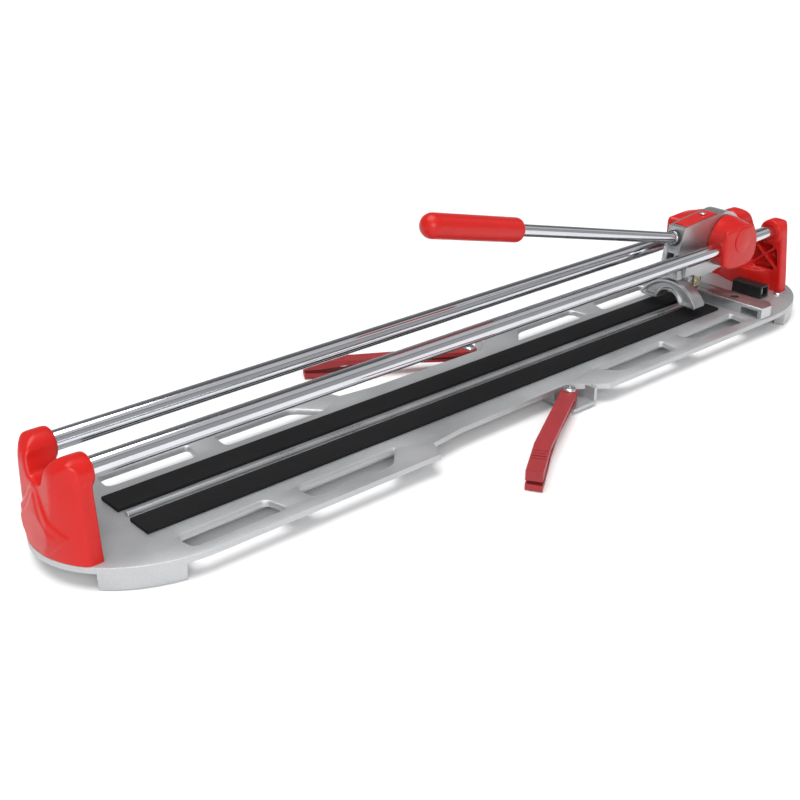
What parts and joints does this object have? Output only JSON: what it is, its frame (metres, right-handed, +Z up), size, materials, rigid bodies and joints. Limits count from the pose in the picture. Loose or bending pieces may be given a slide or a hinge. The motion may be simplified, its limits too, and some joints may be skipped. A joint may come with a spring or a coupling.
{
  "type": "tile cutter",
  "caption": "Manual rail tile cutter: cast base with rubber bed, two guide rails, sliding carriage with scoring lever, breaker foot and two folding side arms.",
  "frame": {"origin": "on the bench, at the middle of the base and midway between the two rails", "axes": "+X along the rails towards the fence, +Z up"},
  "size_m": [0.856, 0.3024, 0.1841],
  "materials": {
    "cast_aluminium": "satin sand-cast aluminium",
    "red_plastic": "moulded red plastic, semi-gloss",
    "red_coating": "dark red coating",
    "chrome_rail": "hard-chromed ground steel",
    "black_rubber": "matte black rubber",
    "black_plastic": "matte black moulded plastic",
    "zinc_steel": "zinc-plated steel",
    "dark_steel": "blackened steel",
    "yellow_plating": "pale yellow-plated steel",
    "bronze": "sintered bronze",
    "carbide": "ground tungsten carbide"
  },
  "bodies": {
    "frame": {"base_plate": "cast_aluminium", "anti_slip_pads": "black_rubber", "pad_front": "black_rubber", "pad_rear": "black_rubber", "breaking_rib": "cast_aluminium", "rail_front": "chrome_rail", "rail_rear": "chrome_rail", "end_support_left": "red_plastic", "end_support_right": "red_plastic", "support_bolts": "zinc_steel", "deck_screws": "zinc_steel", "rail_grub_screws": "dark_steel", "fence_bar": "cast_aluminium", "fence_screws": "zinc_steel", "wheel_case": "black_plastic", "spare_axle_plate": "zinc_steel", "spare_scoring_wheel": "carbide", "arm_bolt_front": "zinc_steel", "arm_bolt_rear": "zinc_steel", "arm_washer_front": "zinc_steel", "arm_washer_rear": "zinc_steel"},
    "carriage": {"cheek_front": "red_plastic", "cheek_rear": "red_plastic", "rail_bush_front_left": "bronze", "rail_bush_front_right": "bronze", "rail_bush_rear_left": "bronze", "rail_bush_rear_right": "bronze", "hinge_pin": "zinc_steel"},
    "lever": {"lever_bush_front": "bronze", "lever_bush_rear": "bronze", "lever_casting": "cast_aluminium", "lever_inlay": "red_plastic", "inlay_screw": "zinc_steel", "socket_collar": "black_plastic", "handle_rod": "chrome_rail", "handle_grip": "red_plastic", "wheel_holder": "yellow_plating", "wheel_axle": "zinc_steel", "holder_clamp_screw": "dark_steel", "foot_pin": "zinc_steel"},
    "scoring_wheel": {"scoring_wheel": "carbide"},
    "breaker": {"breaker_foot": "cast_aluminium"},
    "arm_front": {"arm_front": "red_coating"},
    "arm_rear": {"arm_rear": "red_coating"}
  },
  "joints": [
    {"name": "carriage_slide", "type": "slide", "parent": "frame", "child": "carriage", "axis": [1, 0, 0], "range_m": [-0.63, 0.03]},
    {"name": "lever_lift", "type": "hinge", "parent": "carriage", "child": "lever", "pos_m": [0.326, 0, 0.082], "axis": [0, 1, 0], "range_deg": [-5.2, 18]},
    {"name": "wheel_spin", "type": "hinge", "parent": "lever", "child": "scoring_wheel", "pos_m": [0.3, 0, 0.0415], "axis": [0, 1, 0], "continuous": true},
    {"name": "foot_rock", "type": "hinge", "parent": "lever", "child": "breaker", "pos_m": [0.266, 0, 0.059], "axis": [1, 0, 0], "range_deg": [-4, 4]},
    {"name": "arm_front_swing", "type": "hinge", "parent": "frame", "child": "arm_front", "pos_m": [0.0433, -0.0625, 0.012], "axis": [0, 0, 1], "range_deg": [-27.5, 59.5]},
    {"name": "arm_rear_swing", "type": "hinge", "parent": "frame", "child": "arm_rear", "pos_m": [0.0433, 0.0625, 0.012], "axis": [0, 0, -1], "range_deg": [-27.5, 59.5]}
  ]
}
